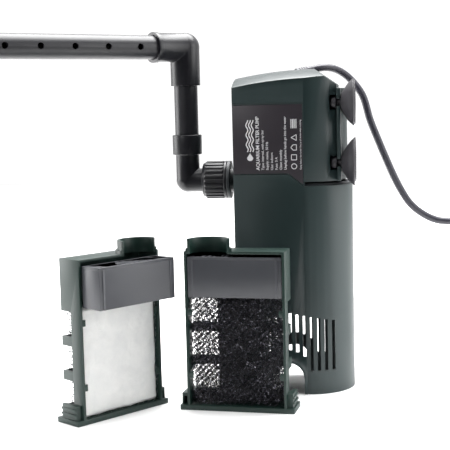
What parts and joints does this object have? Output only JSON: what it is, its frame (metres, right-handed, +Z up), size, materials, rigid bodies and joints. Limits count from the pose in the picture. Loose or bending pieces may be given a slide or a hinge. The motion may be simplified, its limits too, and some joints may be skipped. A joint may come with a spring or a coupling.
{
  "type": "internal power filter",
  "caption": "Submersible aquarium filter: pump head on a slotted canister, swivelling outlet with spray bar, suction cups, and two opened cartridge halves with foam, wool and media boxes.",
  "frame": {"origin": "centre of the canister's foot, on the surface it stands on", "axes": "+Z up, -Y the label side, +X towards the suction cups, -X towards the outlet"},
  "size_m": [0.6291, 0.3257, 0.3017],
  "materials": {
    "shell_green": "satin moulded dark green plastic",
    "pipe_black": "glossy black moulded pipe",
    "rubber_grey": "soft dark grey rubber",
    "seal_rubber": "black seal rubber",
    "label_film": "dark printed film",
    "pump_plastic": "moulded pump plastic",
    "impeller_plastic": "white moulded plastic",
    "ceramic": "polished ceramic",
    "ferrite": "sintered ferrite",
    "core_steel": "laminated steel edges",
    "copper_winding": "enamelled copper wire",
    "lead_rubber": "smooth black cable rubber",
    "pin_metal": "nickel-plated pins",
    "foam_black": "coarse open-cell foam",
    "wool_white": "white filter wool",
    "media_grey": "dark grey moulded plastic",
    "carbon_fill": "activated carbon granules"
  },
  "bodies": {
    "canister_base": {"canister": "shell_green", "cord_coil": "lead_rubber", "cord_tail": "lead_rubber", "plug_body": "lead_rubber", "plug_pins": "pin_metal"},
    "pump_head": {"head_cover": "shell_green", "label_plate": "label_film", "pump_plate": "pump_plastic", "head_seal": "seal_rubber", "stator_core": "core_steel", "stator_coils": "copper_winding", "rotor_can": "pump_plastic", "volute": "pump_plastic", "outlet_washer": "seal_rubber", "ceramic_shaft": "ceramic", "bush_lower": "seal_rubber", "bush_upper": "seal_rubber", "suction_bracket": "shell_green", "cup_front_upper": "rubber_grey", "cup_front_lower": "rubber_grey", "cup_rear_upper": "rubber_grey", "cup_rear_lower": "rubber_grey", "cord_gland": "lead_rubber", "cord_tube": "lead_rubber"},
    "rotor": {"rotor_magnet": "ferrite", "impeller": "impeller_plastic"},
    "union_nut": {"union_nut": "pipe_black"},
    "outlet_elbow": {"lower_elbow": "pipe_black"},
    "riser": {"riser_pipe": "pipe_black", "upper_elbow": "pipe_black"},
    "spray_bar": {"spray_bar": "pipe_black"},
    "end_cap": {"end_cap": "pipe_black"},
    "left_half": {"left_basket": "shell_green", "left_foam": "foam_black", "wool_pad": "wool_white"},
    "left_media": {"left_media_box": "media_grey", "left_media_grille": "media_grey", "left_carbon": "carbon_fill"},
    "right_half": {"right_basket": "shell_green", "right_foam": "foam_black"},
    "right_media": {"right_media_box": "media_grey", "right_media_grille": "media_grey", "right_carbon": "carbon_fill"}
  },
  "joints": [
    {"name": "head_lift", "type": "slide", "parent": "canister_base", "child": "pump_head", "axis": [0, 0, 1], "range_m": [0, 0.075]},
    {"name": "rotor_spin", "type": "hinge", "parent": "pump_head", "child": "rotor", "pos_m": [-0.0245, 0, 0.2], "axis": [0, 0, 1], "continuous": true},
    {"name": "nut_turn", "type": "hinge", "parent": "pump_head", "child": "union_nut", "pos_m": [-0.068, 0, 0.1768], "axis": [1, 0, 0], "continuous": true},
    {"name": "elbow_swivel", "type": "hinge", "parent": "pump_head", "child": "outlet_elbow", "pos_m": [-0.072, 0, 0.1768], "axis": [1, 0, 0], "range_deg": [-45, 30]},
    {"name": "riser_swivel", "type": "hinge", "parent": "outlet_elbow", "child": "riser", "pos_m": [-0.092, 0, 0.2088], "axis": [0, 0, 1], "range_deg": [-150, 100]},
    {"name": "bar_turn", "type": "hinge", "parent": "riser", "child": "spray_bar", "pos_m": [-0.092, 0, 0.289], "axis": [-0.7314, -0.682, 0], "continuous": true},
    {"name": "cap_pull", "type": "slide", "parent": "spray_bar", "child": "end_cap", "axis": [-0.7314, -0.682, 0], "range_m": [0, 0.02]},
    {"name": "left_half_lift", "type": "slide", "parent": "canister_base", "child": "left_half", "axis": [0, 0, 1], "range_m": [0, 0.08]},
    {"name": "left_media_slide", "type": "slide", "parent": "left_half", "child": "left_media", "axis": [0.7986, -0.6018, 0], "range_m": [-0.022, 0.01]},
    {"name": "right_half_lift", "type": "slide", "parent": "canister_base", "child": "right_half", "axis": [0, 0, 1], "range_m": [0, 0.08]},
    {"name": "right_media_slide", "type": "slide", "parent": "right_half", "child": "right_media", "axis": [-0.1045, -0.9945, 0], "range_m": [0, 0.04]}
  ]
}
